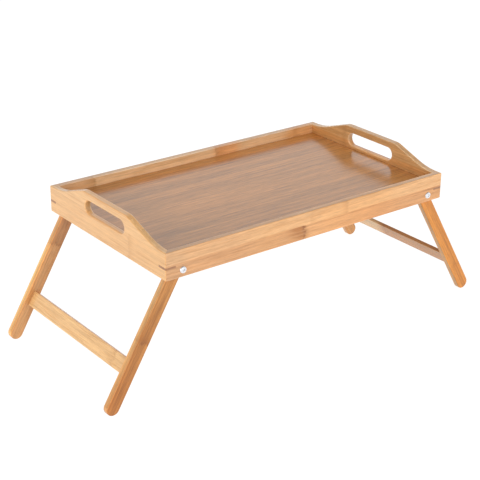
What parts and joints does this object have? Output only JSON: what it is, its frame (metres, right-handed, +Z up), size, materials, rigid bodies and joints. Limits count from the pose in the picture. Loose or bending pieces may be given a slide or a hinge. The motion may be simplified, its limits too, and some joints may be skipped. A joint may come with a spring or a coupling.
{
  "type": "folding tray table",
  "caption": "Rectangular bamboo tray with raised hand-hold ends, and braced legs that swing flat under its board or stand splayed over the lap.",
  "frame": {"origin": "on the floor, midway between the feet, under the centre of the tray", "axes": "+X along the tray's length, towards the right end panel; +Y towards the back rail; +Z up"},
  "size_m": [0.6776, 0.3044, 0.2405],
  "materials": {
    "bamboo_frame": "satin lacquered honey bamboo",
    "bamboo_leg": "satin lacquered honey bamboo",
    "bamboo_board": "gloss lacquered grey-brown bamboo",
    "dark_key": "dark hardwood, sanded flush",
    "bolt_steel": "bright zinc or nickel plate",
    "washer_steel": "plain zinc plate",
    "nylon_ring": "natural nylon"
  },
  "bodies": {
    "tray": {"front_rail": "bamboo_frame", "back_rail": "bamboo_frame", "left_end_panel": "bamboo_frame", "right_end_panel": "bamboo_frame", "tray_board": "bamboo_board", "front_left_corner_key": "dark_key", "front_right_corner_key": "dark_key", "back_left_corner_key": "dark_key", "back_right_corner_key": "dark_key", "front_left_pivot_bolt": "bolt_steel", "front_left_spacer_washer": "washer_steel", "front_left_steel_washer": "washer_steel", "front_left_lock_nut": "bolt_steel", "front_left_nut_insert": "nylon_ring", "front_right_pivot_bolt": "bolt_steel", "front_right_spacer_washer": "washer_steel", "front_right_steel_washer": "washer_steel", "front_right_lock_nut": "bolt_steel", "front_right_nut_insert": "nylon_ring", "back_left_pivot_bolt": "bolt_steel", "back_left_spacer_washer": "washer_steel", "back_left_steel_washer": "washer_steel", "back_left_lock_nut": "bolt_steel", "back_left_nut_insert": "nylon_ring", "back_right_pivot_bolt": "bolt_steel", "back_right_spacer_washer": "washer_steel", "back_right_steel_washer": "washer_steel", "back_right_lock_nut": "bolt_steel", "back_right_nut_insert": "nylon_ring"},
    "left_legs": {"front_left_leg": "bamboo_leg", "back_left_leg": "bamboo_leg", "left_leg_brace": "bamboo_leg"},
    "right_legs": {"front_right_leg": "bamboo_leg", "back_right_leg": "bamboo_leg", "right_leg_brace": "bamboo_leg"}
  },
  "joints": [
    {"name": "left_legs_fold", "type": "hinge", "parent": "tray", "child": "left_legs", "pos_m": [-0.2228, 0, 0.18894], "axis": [0, -1, 0], "range_deg": [0, 120.6]},
    {"name": "right_legs_fold", "type": "hinge", "parent": "tray", "child": "right_legs", "pos_m": [0.2228, 0, 0.18894], "axis": [0, 1, 0], "range_deg": [0, 120.6]}
  ]
}
